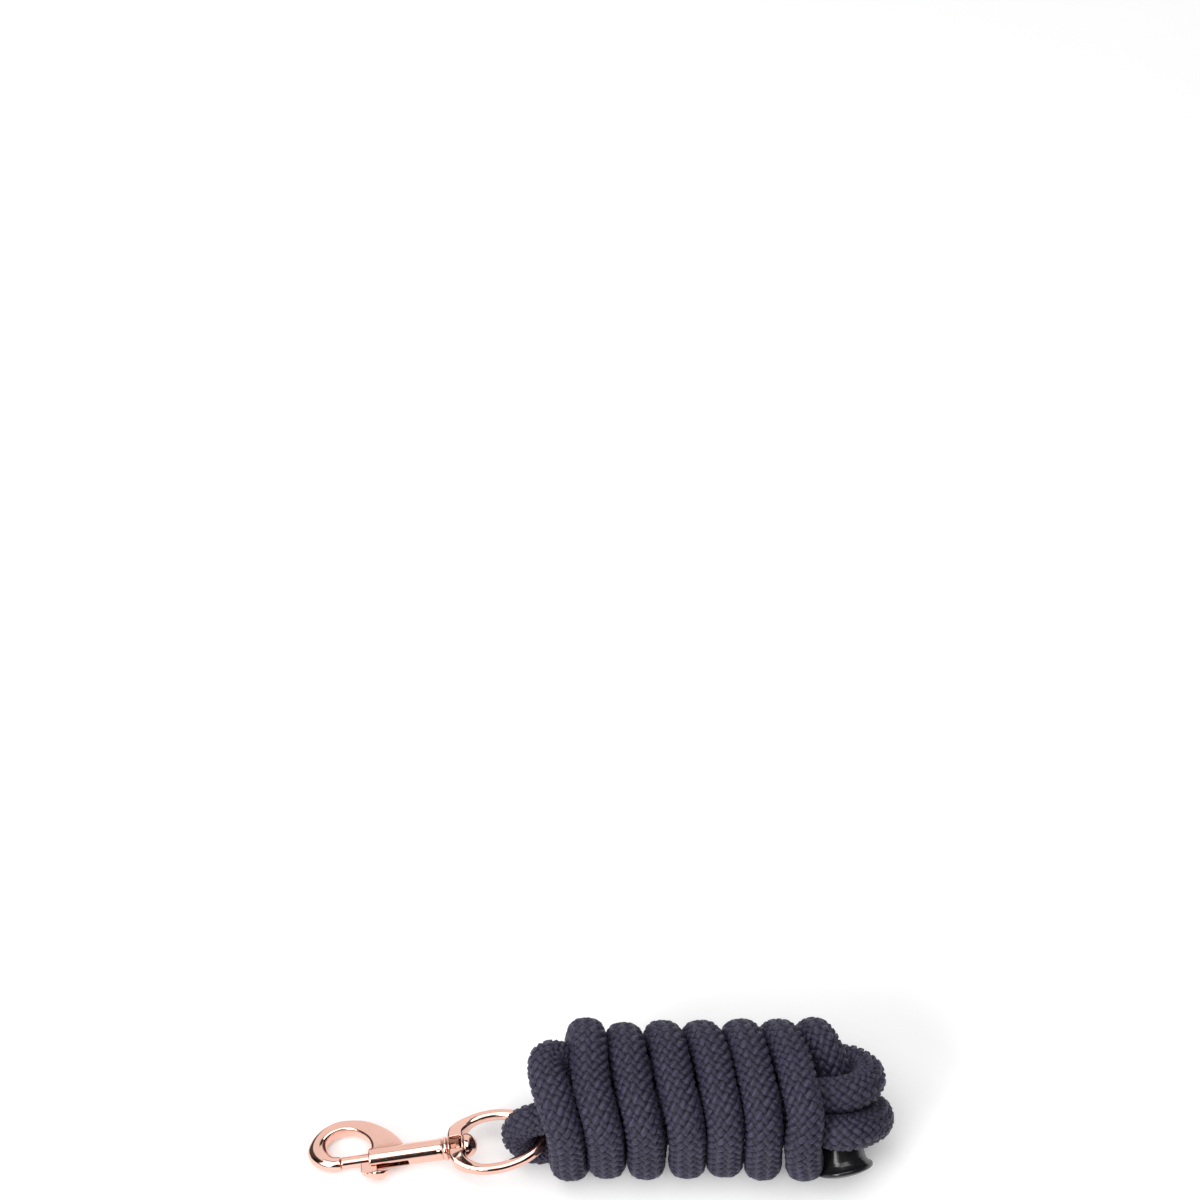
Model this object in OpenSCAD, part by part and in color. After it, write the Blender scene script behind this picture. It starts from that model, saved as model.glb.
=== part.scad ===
// Braided lead rope put away in a wrapped hank, with a swivel bolt snap at one end
// and a flanged cap at the other. It lies on a flat surface: +X runs along the hank
// from the snap to the cap, +Z is up, and the origin is under the middle of the whole.

/* [Rope] */
// Diameter of the braided rope
rope_d = 18; // [16:0.5:18.5]
// Diameter of the rope where it is pulled tight round the eye bar
eye_rope_d = 16; // [14:0.5:16]
// Centre line radius of the rope eye
eye_loop_r = 12.2; // [12:0.1:12.4]

/* [Hank] */
// Turns wound round the middle of the hank
turns = 7; // [5:1:7]
// Distance from one turn to the next
turn_pitch = 18; // [17.5:0.1:18.5]
// Outside width and height of the wound part
hank_side = 69.4; // [68:0.2:72]
// How far a turn runs along the hank while it crosses the front
turn_slant = 10.5; // [6:0.5:12]

/* [Bolt snap] */
// Outside diameter of the barrel
barrel_d = 10.4; // [9.8:0.1:10.6]
// Length of the barrel
barrel_l = 38.5; // [37:0.5:40]
// Diameter of the sliding bolt
bolt_d = 5.7; // [5:0.1:6]
// Radial play of the bolt in the barrel and of the pin in the eye
running_gap = 0.05; // [0.02:0.01:0.1]
// Travel of the bolt from closed to fully drawn
bolt_travel = 13; // [8:1:13]
// Width of the slot that the thumb knob slides in
slot_w = 4; // [3.4:0.1:4.2]
// Thickness of the hook
hook_t = 8; // [7:0.25:8]
// Diameter of the domed thumb knob
knob_d = 11; // [9:0.2:11.4]
// Wire diameter of the bolt spring
spring_wire_d = 0.7; // [0.5:0.05:0.8]

/* [Swivel eye] */
// Diameter of the round bar of the eye
eye_bar_d = 5.4; // [4.8:0.1:5.4]
// Outside width of the eye
eye_w = 34.2; // [34:0.2:36]
// Diameter of the collar on the swivel pin
collar_d = 11.2; // [10:0.1:11.4]
// Diameter of the domed head of the swivel pin
pin_head_d = 11.6; // [9:0.2:11.8]

/* [End cap] */
// Outside diameter of the cap
cap_d = 21.5; // [20.5:0.25:23]
// Length of the cap
cap_l = 19; // [17:1:20]
// Diameter of the flared flange
flange_d = 27; // [24:0.5:27]
// Thickness of the flange
flange_t = 3; // [2:0.25:4]

/* [Lay] */
// Rise of the snap from the hook on the ground to the rope eye, in degrees
snap_pitch = 9.5; // [9:0.1:10]
// Turn of the snap about the vertical, in degrees
snap_yaw = 4; // [3:0.1:5]

/* [Hidden] */

rope_r = rope_d / 2;
rope_colour = [0.36, 0.35, 0.44];
metal_colour = [0.90, 0.62, 0.55];
steel_colour = [0.66, 0.66, 0.68];
cap_colour = [0.06, 0.06, 0.065];

// ---- sweeps ----------------------------------------------------------------

// Point of a smooth curve through p1 and p2
function between(p0, p1, p2, p3, t) =
    0.5 * (2 * p1 + (p2 - p0) * t + (2 * p0 - 5 * p1 + 4 * p2 - p3) * t * t
           + (3 * p1 - p0 - 3 * p2 + p3) * t * t * t);

// n steps between each two points of a list
function smooth(p, n) = let (m = len(p) - 1)
    [for (i = [0 : m - 1]) for (s = [0 : n - 1])
        between(p[max(i - 1, 0)], p[i], p[i + 1], p[min(i + 2, m)], s / n),
     p[m]];

function unit(v) = v / norm(v);

function tangents(p) = let (m = len(p) - 1)
    [for (i = [0 : m]) unit(p[min(i + 1, m)] - p[max(i - 1, 0)])];

// Side directions carried along a curve without twist
function sides_of(t, i, v) = let (n = unit(v - (v * t[i]) * t[i]))
    i == len(t) - 1 ? [n] : concat([n], sides_of(t, i + 1, n));

// Faces of a closed skin over rings of k points each
function skin_faces(rings, k) = concat(
    [[for (j = [0 : k - 1]) j]],
    [for (i = [0 : rings - 2]) for (j = [0 : k - 1])
        [i * k + j, (i + 1) * k + j, (i + 1) * k + (j + 1) % k, i * k + (j + 1) % k]],
    [[for (j = [k - 1 : -1 : 0]) (rings - 1) * k + j]]);

// Round tube along the points p
module tube(p, r, k = 10, first = [0, 0.31, 0.95]) {
    t = tangents(p);
    s = sides_of(t, 0, first);
    polyhedron(points = [for (i = [0 : len(p) - 1]) let (b = cross(t[i], s[i]))
                           for (j = [0 : k - 1]) let (a = 360 * j / k)
                             p[i] + r * (cos(a) * s[i] + sin(a) * b)],
               faces = skin_faces(len(p), k), convexity = 6);
}

// ---- hank ------------------------------------------------------------------

wrap_a = hank_side / 2 - rope_r;      // half side of the winding's centre line
wrap_r = 16.7;                        // its corner radius
wrap_c = wrap_a - wrap_r;             // corner centres
hank_z = hank_side / 2 - 0.6;         // middle of the hank, which its weight flattens a little
turn_0 = -24.5;                       // first turn at the top of the back
around = 32;                          // points round the hank, eight at each corner

// Place along X of a turn at angle a round the hank
function turn_x(a) = let (f = (a + 330) % 360)
    turn_0 + turn_slant * (f < 180 ? f / 180 : (360 - f) / 180);

// Profile along the hank: [distance from the first turn, height over its centre line]
turn_profile = [[-6.4, 6.2], [-3, 8.5], [0, 9], [3, 8.5], [6.4, 6.2], [9, 3.6]];
hank_profile = concat(
    [[-6.4, -6.2], [-8.5, -3], [-9, 0], [-8.5, 3]],
    [for (k = [0 : turns - 1]) for (q = turn_profile)
        if (k < turns - 1 || q[0] < 9) [q[0] + k * turn_pitch, q[1]]],
    [let (e = (turns - 1) * turn_pitch) each [[e + 8.5, 3], [e + 9, 0], [e + 8.5, -3], [e + 6.4, -6.2]]]);

function hank_point(a, h, x) = let (q = floor(a / 90), g = q * 90 + ((a % 90) - 5.625) * 90 / 78.75,
                                   sy = (q == 0 || q == 3) ? 1 : -1, sz = q < 2 ? 1 : -1)
    [x, sy * wrap_c + (wrap_r + h) * cos(g),
     max(0, hank_z + sz * wrap_c + (wrap_r + h) * sin(g))];

function hank_ring(q) = [for (j = [0 : around - 1]) let (a = (j + 0.5) * 360 / around)
                           hank_point(a, q[1], turn_x(a) + q[0])];
function flat_ring(x, h) = [for (j = [0 : around - 1]) hank_point((j + 0.5) * 360 / around, h, x)];

module hank_solid() {
    end_x = turn_0 + turn_slant + (turns - 1) * turn_pitch;
    pts = concat(flat_ring(-14, -9.6), [for (q = hank_profile) each hank_ring(q)],
                 flat_ring(end_x - 2, -9.6));
    polyhedron(points = pts, faces = skin_faces(len(pts) / around, around), convexity = 10);
}

// The clamp closes the rope eye inside the hank
clamp_at = [-9, -8, hank_z];
clamp_l = 14;
clamp_w = 18.4;
clamp_h = 35.4;
clamp_t = 1.2;

module stadium(w, h) {
    translate([0, (h - w) / 2]) circle(d = w, $fn = 48);
    translate([0, (w - h) / 2]) circle(d = w, $fn = 48);
    square([w, h - w], center = true);
}
module along_x() { rotate([90, 0, 90]) children(); }

module rope_hank() {
    color(rope_colour) difference() {
        hank_solid();
        translate(clamp_at) along_x() linear_extrude(clamp_l) stadium(clamp_w, clamp_h);
    }
}

// ---- rope outside the winding ----------------------------------------------

pivot = [-26.8, -11.8, 22.1];         // middle of the eye's far end
loop_y = -12.4;                       // plane of the rope eye
loop_mid = [pivot[0], loop_y, pivot[2]];

function loop_arc(a) = loop_mid + eye_loop_r * [cos(a), 0, sin(a)];
eye_loop_points = concat(
    [[8, -8, 43], [-2, -8, 43], [-10, -9, 41], [-18, -10, 37]],
    [for (a = [90 : 20 : 270]) loop_arc(a)],
    [[-18, -10, 13], [-10, -9, 20], [-2, -8, 26], [8, -8, 26.5]]);

module rope_eye_loop() {
    color(rope_colour) tube(eye_loop_points, eye_rope_d / 2, 12);
}

// Middle points of the bights' arms where they leave the winding, and of their bends
upper_near = [108, -6.3, 51];
upper_far = [108, 21.7, 33.7];
lower_near = [107.9, -22.6, 42.6];
lower_far = [103.6, 13.5, 11.8];

function bight(a, b) = let (m = (a + b) / 2, h = (a - b) / 2)
    [for (g = [0 : 15 : 180]) m + cos(g) * h + sin(g) * norm(h) * [1, 0, 0]];

module rope_upper_bight() {
    color(rope_colour)
        tube(concat([[86, -8, 44.5], [98, -7.4, 48.5]], bight(upper_near, upper_far),
                    [[98, 18, 37], [86, 12, 42]]), rope_r, 10);
}
module rope_lower_bight() {
    color(rope_colour)
        tube(concat([[86, -10, 28], [98, -17, 37.5]], bight(lower_near, lower_far),
                    [[96, 12, 15], [84, 9, 22]]), rope_r, 10);
}

// Cap: middle of its outer end, and the way it points
cap_end = [115.5, -26.2, 12.2];
cap_tilt = 130;
cap_turn = -75;
cap_dir = [sin(cap_tilt) * cos(cap_turn), sin(cap_tilt) * sin(cap_turn), cos(cap_tilt)];
module at_cap() { translate(cap_end) rotate([0, cap_tilt, cap_turn]) children(); }

tail_points = smooth([[84, 19, 17], [92, 24.2, 25], [96.5, 25.6, 39], [100, 24, 52], [104, 16.7, 56], [107.5, 9.4, 50.8],
                      [109.2, 5.4, 42.4], [109.5, 0.8, 36.4], cap_end - (cap_l + 6) * cap_dir,
                      cap_end - (cap_l - 4) * cap_dir, cap_end - flange_t * cap_dir], 3);

module rope_tail() {
    color(rope_colour) tube(tail_points, rope_r, 10, [1, 0, 0]);
}

module loop_clamp() {
    color(steel_colour) translate(clamp_at) along_x() linear_extrude(clamp_l) difference() {
        stadium(clamp_w, clamp_h);
        stadium(clamp_w - 2 * clamp_t, clamp_h - 2 * clamp_t);
    }
}

module end_cap() {
    color(cap_colour) at_cap() difference() {
        rotate_extrude($fn = 96) polygon([
            [0, 1.6], [flange_d / 4, 1.2], [flange_d / 2 - 2.4, 0.3], [flange_d / 2 - 0.5, -0.6], [flange_d / 2, -1.2],
            [flange_d / 2, -flange_t + 0.7], [flange_d / 2 - 0.5, -flange_t + 0.2], [cap_d / 2 + 1, -flange_t - 0.9],
            [cap_d / 2 + 0.3, -flange_t - 2], [cap_d / 2, -flange_t - 3.6],
            [cap_d / 2 - 0.2, -cap_l + 0.8], [cap_d / 2 - 0.8, -cap_l], [0, -cap_l]]);
        translate([0, 0, -cap_l - 1]) cylinder(d = rope_d, h = cap_l + 1 - flange_t, $fn = 96);
    }
}

// ---- bolt snap, in a frame with its origin just in front of the barrel -------

eye_reach = 84;                       // from that origin to the eye's far end
mouth = pivot - eye_reach * [cos(snap_pitch) * cos(snap_yaw), cos(snap_pitch) * sin(snap_yaw), sin(snap_pitch)];
module at_snap() { translate(mouth) rotate([0, -snap_pitch, snap_yaw]) children(); }
module turned() { rotate([0, 90, 0]) rotate_extrude($fn = 96) children(); }
module rod(d, x0, x1) { translate([x0, 0, 0]) rotate([0, 90, 0]) cylinder(d = d, h = x1 - x0, $fn = 96); }

bore_d = bolt_d + 2 * running_gap;
hook_gap = 13;                        // from the start of the snap's frame to the tip of the hook
barrel_0 = 0.9;                       // mouth of the barrel
slot_l = 19.5;
bolt_back = 12;
pin_in = 30;                          // inner end of the swivel pin
collar_0 = barrel_l + 0.3;
collar_1 = barrel_l + 8;

// Hook: [inner edge x, y, outer edge x, y, thickness, squareness] from the barrel to the tip
hook_stations = [
    [1.9, 2, 19.3, 2, 0.84, 8],
    [2.1, 6.5, 15.4, 8.2, 0.92, 8],
    [0.7, 10, 11.3, 12.5, 0.97, 8],
    [-2.5, 13, 6.3, 16.2, 1, 7],
    [-5.9, 14.9, 0.5, 19.2, 1, 6],
    [-9.7, 15.7, -6.5, 20.9, 1, 5.5],
    [-13.2, 15.5, -13.3, 21.1, 1, 5],
    [-16.4, 14.3, -19.4, 19.1, 1, 4.2],
    [-18.5, 12.3, -24.2, 15.7, 1, 3.4],
    [-19.3, 10.1, -27.6, 11.4, 1, 2.8],
    [-19.1, 7.8, -28.8, 7, 1, 2.5],
    [-18.3, 5.6, -27.2, 2.6, 0.98, 2.3],
    [-17, 4.1, -23, -1.2, 0.94, 2.2],
    [-15.3, 3.4, -18, -3.2, 0.88, 2.1],
    [-13, 3.4, -13, -3.5, 0.84, 2]];
hook_k = 24;
function power(v, n) = sign(v) * pow(abs(v), 2 / n);

module hook() {
    s = smooth(hook_stations, 3);
    pts = [for (q = s) let (mid = [(q[0] + q[2]) / 2, (q[1] + q[3]) / 2, 0],
                            h = [(q[2] - q[0]) / 2, (q[3] - q[1]) / 2, 0])
             for (j = [0 : hook_k - 1]) let (a = 360 * j / hook_k)
               mid + power(cos(a), q[5]) * h + [0, 0, power(sin(a), q[5]) * hook_t * q[4] / 2]];
    polyhedron(points = pts, faces = [for (f = skin_faces(len(s), hook_k)) [for (i = [len(f) - 1 : -1 : 0]) f[i]]],
               convexity = 8);
}

module snap_body() {
    color(metal_colour) at_snap() difference() {
        union() {
            turned() polygon([[0, barrel_0], [barrel_d / 2 - 0.3, barrel_0], [barrel_d / 2, barrel_0 + 0.4], [barrel_d / 2, barrel_l - 5],
                              [barrel_d / 2 + 0.15, barrel_l - 3], [barrel_d / 2 + 0.5, barrel_l - 1.2],
                              [barrel_d / 2 + 0.5, barrel_l - 0.4], [barrel_d / 2 + 0.2, barrel_l], [0, barrel_l]]);
            hook();
        }
        rod(bore_d, -3, barrel_l + 1);
        translate([-1, -barrel_d, -slot_w / 2]) cube([slot_l + 1, barrel_d, slot_w]);
    }
}

module bolt() {
    color(metal_colour) at_snap() difference() {
        union() {
            turned() polygon([[0, -hook_gap + 0.1], [bolt_d / 2 - 0.4, -hook_gap + 0.1], [bolt_d / 2, -hook_gap + 0.5],
                              [bolt_d / 2, bolt_back], [0, bolt_back]]);
            rod(2.6, bolt_back - 1, bolt_back + 2.5);
        }
        translate([0.4, 0, 0]) rotate([90, 0, 0]) cylinder(d = 2.4, h = bolt_d, $fn = 48);
    }
}

knob_dip = 30;                        // the knob's dome points a little down
module thumb_knob() {
    color(metal_colour) at_snap() {
        translate([0.4, -0.02, 0]) rotate([90, 0, 0]) cylinder(d = 2.36, h = 4, $fn = 48);
        difference() {
            translate([-3.4, -7.1, -slot_w / 2 + 0.2]) cube([7.6, 5.1, slot_w - 0.4]);
            rod(bolt_d + 0.04, -5, 6);
        }
        translate([4.4, -6.2, -0.35]) rotate([knob_dip, 0, 0]) rotate([90, 0, 0]) rotate_extrude($fn = 96)
            polygon(concat([[0, 0]], [for (a = [0 : 9 : 81]) [knob_d / 2 * cos(a), 0.5 + 3.8 * sin(a)]],
                           [[0, 4.3]]));
        translate([-3.4, -7.1, 0]) linear_extrude(slot_w - 0.4, center = true)
            polygon([[0, 0.1], [7, 0.1], [7, -2.8], [3.2, -1.8]]);
    }
}

// Open coil between the bolt and the swivel pin
spring_turns = 7;
spring_r = 2.05;
module bolt_spring() {
    x0 = bolt_back + spring_wire_d / 2 + 0.05;
    x1 = pin_in - spring_wire_d / 2 - 0.05;
    m = spring_turns * 14;
    color(steel_colour) at_snap()
        tube([for (i = [0 : m]) let (a = 360 * spring_turns * i / m)
                [x0 + (x1 - x0) * i / m, spring_r * cos(a), spring_r * sin(a)]], spring_wire_d / 2, 6, [1, 0, 0]);
}

module swivel_pin() {
    color(metal_colour) at_snap() {
        turned() polygon(concat(
            [[0, pin_in], [bore_d / 2 - 0.5, pin_in], [bore_d / 2 - 0.02, pin_in + 0.5],
             [bore_d / 2 - 0.02, collar_1 + 0.3], [pin_head_d / 2 - 0.3, collar_1 + 0.3]],
            [for (a = [0 : 9 : 81]) [pin_head_d / 2 * cos(a), collar_1 + 0.6 + 5.4 * sin(a)]],
            [[0, collar_1 + 6]]));
    }
}

// Eye: a round bar bent to an oval of four arcs, with stout shoulders on a collar
// that turns on the pin
eye_r = eye_bar_d / 2;
oval_x = 60;                          // middle of the oval
oval_a = eye_reach - oval_x;          // its half length and half width, on the bar's axis
oval_b = eye_w / 2 - eye_r;
oval_r = oval_b * 2 / 3;              // radius of the far end
oval_c = oval_a - oval_r;             // middle of that end arc
oval_k = (oval_c * oval_c - pow(oval_b - oval_r, 2)) / (2 * (oval_b - oval_r));
oval_s = oval_b + oval_k;             // radius of the long sides
oval_g = atan2(oval_k, oval_c);       // where the end and the sides meet
shoulder_x = 42.9;                    // middle, thickness and half width of the shoulders
shoulder_d = 7.4;
shoulder_w = 11.4;
side_end_g = acos((shoulder_x - 2.1 - oval_x) / oval_s);
module bend(c, r, a0, a1) {
    translate([c[0], c[1], 0]) rotate([0, 0, a0]) rotate_extrude(angle = a1 - a0, $fn = 96)
        translate([r, 0]) circle(d = eye_bar_d, $fn = 48);
}

module swivel_eye() {
    color(metal_colour) at_snap() difference() {
        union() {
            bend([oval_x + oval_c, 0], oval_r, -oval_g, oval_g);
            for (s = [0, 1]) mirror([0, s, 0]) bend([oval_x, -oval_k], oval_s, oval_g, side_end_g);
            translate([shoulder_x, -shoulder_w, 0]) rotate([-90, 0, 0])
                cylinder(d = shoulder_d, h = 2 * shoulder_w, $fn = 48);
            turned() polygon([[0, collar_0], [collar_d / 2 - 0.4, collar_0], [collar_d / 2, collar_0 + 0.4],
                              [collar_d / 2, collar_1 - 0.4], [collar_d / 2 - 0.4, collar_1], [0, collar_1]]);
        }
        rod(bore_d + 2 * running_gap, collar_0 - 2, collar_1 + 2);
    }
}

rope_hank();
rope_eye_loop();
rope_upper_bight();
rope_lower_bight();
rope_tail();
loop_clamp();
end_cap();
swivel_eye();
swivel_pin();
snap_body();
bolt();
thumb_knob();
bolt_spring();
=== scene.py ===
"""Looks of the wound lead rope with its bolt snap, in metres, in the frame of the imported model."""
import math

import bmesh
import bpy
import numpy as np
from mathutils import Matrix, Vector
from mathutils.bvhtree import BVHTree


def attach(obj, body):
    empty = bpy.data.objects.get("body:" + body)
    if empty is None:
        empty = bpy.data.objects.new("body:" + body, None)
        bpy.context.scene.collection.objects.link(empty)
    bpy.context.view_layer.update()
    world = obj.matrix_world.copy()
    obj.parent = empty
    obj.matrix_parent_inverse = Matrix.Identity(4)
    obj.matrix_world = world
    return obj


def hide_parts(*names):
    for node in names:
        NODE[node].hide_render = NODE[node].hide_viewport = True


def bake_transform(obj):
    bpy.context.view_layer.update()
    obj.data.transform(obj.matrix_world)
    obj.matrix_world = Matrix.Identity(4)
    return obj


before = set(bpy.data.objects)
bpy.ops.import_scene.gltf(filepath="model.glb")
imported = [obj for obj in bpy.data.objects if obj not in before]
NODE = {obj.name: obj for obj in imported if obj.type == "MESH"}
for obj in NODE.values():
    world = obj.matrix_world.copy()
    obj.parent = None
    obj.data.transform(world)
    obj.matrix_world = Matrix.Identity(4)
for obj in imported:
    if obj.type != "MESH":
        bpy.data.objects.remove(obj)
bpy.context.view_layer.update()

scene = bpy.context.scene
MM = 0.001

# ---------------------------------------------------------------------------
# Camera: the object is seen from 60 degrees above, low in a square picture
# ---------------------------------------------------------------------------
AIM = Vector((0.0, 0.0, 0.035))
RANGE = 2.5
ELEVATION = math.radians(60)
PICTURE_W = 0.564
DROP = 0.2345

tilt = math.asin(DROP / RANGE)
camera_data = bpy.data.cameras.new("camera")
camera_data.sensor_width = 36
camera_data.lens = 36 * RANGE * math.cos(tilt) / PICTURE_W
camera = bpy.data.objects.new("camera", camera_data)
scene.collection.objects.link(camera)
camera.location = AIM + RANGE * Vector((0, -math.cos(ELEVATION), math.sin(ELEVATION)))
camera.rotation_euler = (math.radians(90) - ELEVATION + tilt, 0, 0)
scene.camera = camera


# ---------------------------------------------------------------------------
# Small helpers
# ---------------------------------------------------------------------------
def put(name, mesh):
    o = bpy.data.objects.new(name, mesh)
    scene.collection.objects.link(o)
    return o


def unit(v):
    return v / np.maximum(np.linalg.norm(v, axis=-1, keepdims=True), 1e-12)


class Paint:
    """A node material with a Principled shader."""

    def __init__(self, name):
        self.mat = bpy.data.materials.new(name)
        self.mat.use_nodes = True
        self.tree = self.mat.node_tree
        self.tree.nodes.clear()
        self.out = self.tree.nodes.new("ShaderNodeOutputMaterial")
        self.bsdf = self.tree.nodes.new("ShaderNodeBsdfPrincipled")
        self.tree.links.new(self.bsdf.outputs["BSDF"], self.out.inputs["Surface"])

    def node(self, kind, inputs=None, **settings):
        n = self.tree.nodes.new(kind)
        for k, v in settings.items():
            setattr(n, k, v)
        for k, v in (inputs or {}).items():
            if isinstance(v, bpy.types.NodeSocket):
                self.tree.links.new(v, n.inputs[k])
            else:
                n.inputs[k].default_value = v
        return n

    def set(self, **values):
        for k, v in values.items():
            socket = self.bsdf.inputs[k.replace("_", " ")]
            if isinstance(v, bpy.types.NodeSocket):
                self.tree.links.new(v, socket)
            else:
                socket.default_value = v

    def noise(self, vector, scale, detail=2.0, roughness=0.5):
        return self.node("ShaderNodeTexNoise", {"Vector": vector, "Scale": scale, "Detail": detail, "Roughness": roughness}).outputs["Fac"]

    def scaled(self, vector, scale):
        return self.node("ShaderNodeMapping", {"Vector": vector, "Scale": scale}, vector_type="POINT").outputs["Vector"]

    def ramp(self, fac, stops):
        n = self.node("ShaderNodeValToRGB", {"Fac": fac})
        e = n.color_ramp.elements
        while len(e) < len(stops):
            e.new(0.5)
        for item, (pos, c) in zip(e, stops):
            item.position = pos
            item.color = (*c, 1) if len(c) == 3 else c
        return n.outputs["Color"]

    def math(self, op, a, b=None, c=None):
        n = self.node("ShaderNodeMath", operation=op)
        for i, v in enumerate((a, b, c)):
            if v is None:
                continue
            if isinstance(v, bpy.types.NodeSocket):
                self.tree.links.new(v, n.inputs[i])
            else:
                n.inputs[i].default_value = v
        return n.outputs[0]

    def span(self, v, a, b, lo, hi):
        return self.node("ShaderNodeMapRange", {"Value": v, "From Min": a, "From Max": b, "To Min": lo, "To Max": hi}).outputs["Result"]

    def mix(self, kind, fac, a, b):
        n = self.node("ShaderNodeMix", data_type="RGBA", blend_type=kind)
        for i, v in ((0, fac), (6, a), (7, b)):
            if isinstance(v, bpy.types.NodeSocket):
                self.tree.links.new(v, n.inputs[i])
            else:
                n.inputs[i].default_value = v
        return n.outputs[2]

    def bump(self, height, strength, distance, normal=None):
        inputs = {"Height": height, "Strength": strength, "Distance": distance}
        if normal is not None:
            inputs["Normal"] = normal
        return self.node("ShaderNodeBump", inputs).outputs["Normal"]

    def attribute(self, name):
        return self.node("ShaderNodeAttribute", attribute_name=name, attribute_type="GEOMETRY").outputs["Fac"]

    def coords(self, which="Object"):
        return self.node("ShaderNodeTexCoord").outputs[which]


# ---------------------------------------------------------------------------
# Route of the rope, millimetres
# ---------------------------------------------------------------------------
ROPE_R = 9.0
EYE_ROPE_R = 8.0
HANK_Z, WRAP_A, WRAP_R = 34.1, 25.7, 16.7
WRAP_C = WRAP_A - WRAP_R
# Where each turn lies along the hank, at shares of its way over the top and down the front,
# and how far it stands proud at the back edge and at the bottom
TURN_F = (0.0, 0.10, 0.21, 0.25, 0.293, 0.36, 0.5)
TURN_X = (
    (-27.0, -25.9, -22.8, -20.4, -17.6, -15.7, -15.0),
    (-7.0, -5.9, -3.3, -1.4, 0.9, 2.6, 3.0),
    (11.3, 13.4, 16.5, 17.9, 20.0, 21.4, 21.8),
    (29.1, 32.9, 36.0, 38.3, 40.0, 40.9, 41.0),
    (47.0, 52.4, 55.2, 57.6, 58.5, 58.5, 58.5),
    (65.8, 70.3, 74.0, 75.7, 76.4, 76.4, 76.4),
    (83.7, 89.3, 93.8, 95.4, 96.4, 96.1, 96.0))
LAST_X = 99.6
TOP_R = (-2.0, 0.6, -2.0, -0.8, 0.1, 0.9, 0.6, 1.2)
BOT_R = (-0.4, -0.3, -0.7, -0.6, -1.4, 0.4, 0.7)
EYE_AT, EYE_R = (-26.8, -11.6, 22.9), 12.2
CAP_END = np.array((115.5, -26.2, 12.2))
_ct, _cn = math.radians(130), math.radians(-75)
CAP_DIR = np.array((math.sin(_ct) * math.cos(_cn), math.sin(_ct) * math.sin(_cn), math.cos(_ct)))


def section(f):
    """Point (Y, z) and outward normal of the winding's rounded square at share f of its way round,
    from the back of the top, over the top and down the front."""
    quarter, side = WRAP_R * math.pi / 2, 2 * WRAP_C
    s = ((f % 1.0) * 4 * (quarter + side) + WRAP_R * math.radians(30)) % (4 * (quarter + side))
    k, s = divmod(s, quarter + side)
    turn = k * math.pi / 2
    if s < quarter:
        g = s / WRAP_R
        y, z, ny, nz = WRAP_C + WRAP_R * math.cos(g), WRAP_C + WRAP_R * math.sin(g), math.cos(g), math.sin(g)
    else:
        y, z, ny, nz = WRAP_C - (s - quarter), WRAP_A, 0.0, 1.0
    c, n = math.cos(turn), math.sin(turn)
    return (c * y - n * z, n * y + c * z), (c * ny - n * nz, n * ny + c * nz)


def wrap(k, f):
    """Centre of turn k at share f round."""
    after = TURN_X[k + 1][0] if k < 6 else LAST_X
    x = np.interp(f, TURN_F + (1.0,), TURN_X[k] + (after,))
    r = np.interp(f, (0.0, 0.5, 1.0), (TOP_R[k], BOT_R[k], TOP_R[k + 1]))
    (y, z), n = section(f)
    return (x, y + r * n[0], HANK_Z + z + r * n[1])


def eye(deg):
    a = math.radians(deg)
    return (EYE_AT[0] + EYE_R * math.cos(a), EYE_AT[1] + EYE_R * math.sin(a) * 0.09, EYE_AT[2] + EYE_R * math.sin(a) * 0.996)


def bight(a, b, n=9):
    """A half circle from a to b that bulges towards +X."""
    a, b = np.array(a, float), np.array(b, float)
    m, h = (a + b) / 2, (a - b) / 2
    r = np.linalg.norm(h)
    return [m + math.cos(math.pi * i / (n - 1)) * h + math.sin(math.pi * i / (n - 1)) * np.array((r, 0, 0)) for i in range(n)]


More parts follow.
